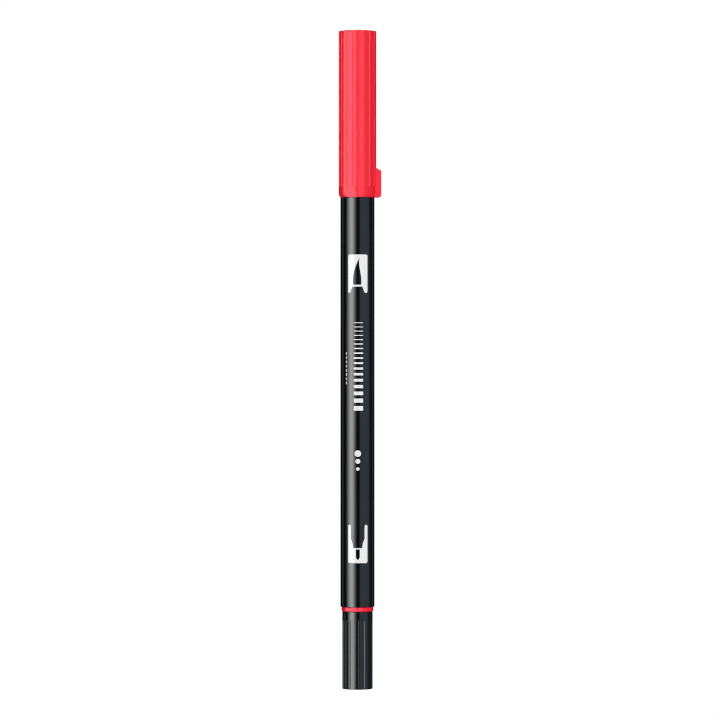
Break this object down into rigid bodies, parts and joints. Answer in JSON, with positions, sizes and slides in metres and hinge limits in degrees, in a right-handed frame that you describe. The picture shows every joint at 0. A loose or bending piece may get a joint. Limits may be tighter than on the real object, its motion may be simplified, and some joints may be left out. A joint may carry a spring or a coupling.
{
  "type": "double-ended brush pen",
  "caption": "Slim double-ended brush pen: soft brush tip under a fluted cap with an anti-roll tab, fine bullet tip under a short fluted cap, fibre ink reservoir in the barrel.",
  "frame": {"origin": "on the pen's axis, at the flat end face of the fine cap, on which the capped pen stands", "axes": "+Z along the pen from the fine cap to the brush cap, +X towards the anti-roll tab, the printed face looks along -Y"},
  "size_m": [0.0112, 0.0098, 0.172],
  "materials": {
    "barrel_plastic": "smooth gloss black, moulded",
    "section_plastic": "satin black, moulded",
    "fine_cap_plastic": "smooth gloss black, fluted",
    "red_plastic": "smooth gloss red, moulded",
    "liner_plastic": "natural milky plastic",
    "nib_fibre": "porous fibre wet with red ink",
    "reservoir_fibre": "bonded fibre soaked with red ink",
    "reservoir_film": "thin clear film",
    "printed_ink": "white pad-printed ink on the barrel"
  },
  "bodies": {
    "pen": {"barrel": "barrel_plastic", "ink_reservoir": "reservoir_fibre", "reservoir_wrap": "reservoir_film", "brush_section": "section_plastic", "brush_nib": "nib_fibre", "fine_section": "section_plastic", "fine_nib": "nib_fibre", "colour_ring": "red_plastic"},
    "brush_liner": {"brush_cap_liner": "liner_plastic"},
    "brush_cap": {"brush_cap_shell": "red_plastic"},
    "fine_liner": {"fine_cap_liner": "liner_plastic"},
    "fine_cap": {"fine_cap_shell": "fine_cap_plastic"}
  },
  "joints": [
    {"name": "brush_cap_pull", "type": "slide", "parent": "pen", "child": "brush_liner", "axis": [0, 0, 1], "range_m": [0, 0.04]},
    {"name": "brush_cap_turn", "type": "hinge", "parent": "brush_liner", "child": "brush_cap", "pos_m": [0, 0, 0.15], "axis": [0, 0, 1], "continuous": true},
    {"name": "fine_cap_pull", "type": "slide", "parent": "pen", "child": "fine_liner", "axis": [0, 0, -1], "range_m": [0, 0.022]},
    {"name": "fine_cap_turn", "type": "hinge", "parent": "fine_liner", "child": "fine_cap", "pos_m": [0, 0, 0.01], "axis": [0, 0, -1], "continuous": true}
  ]
}
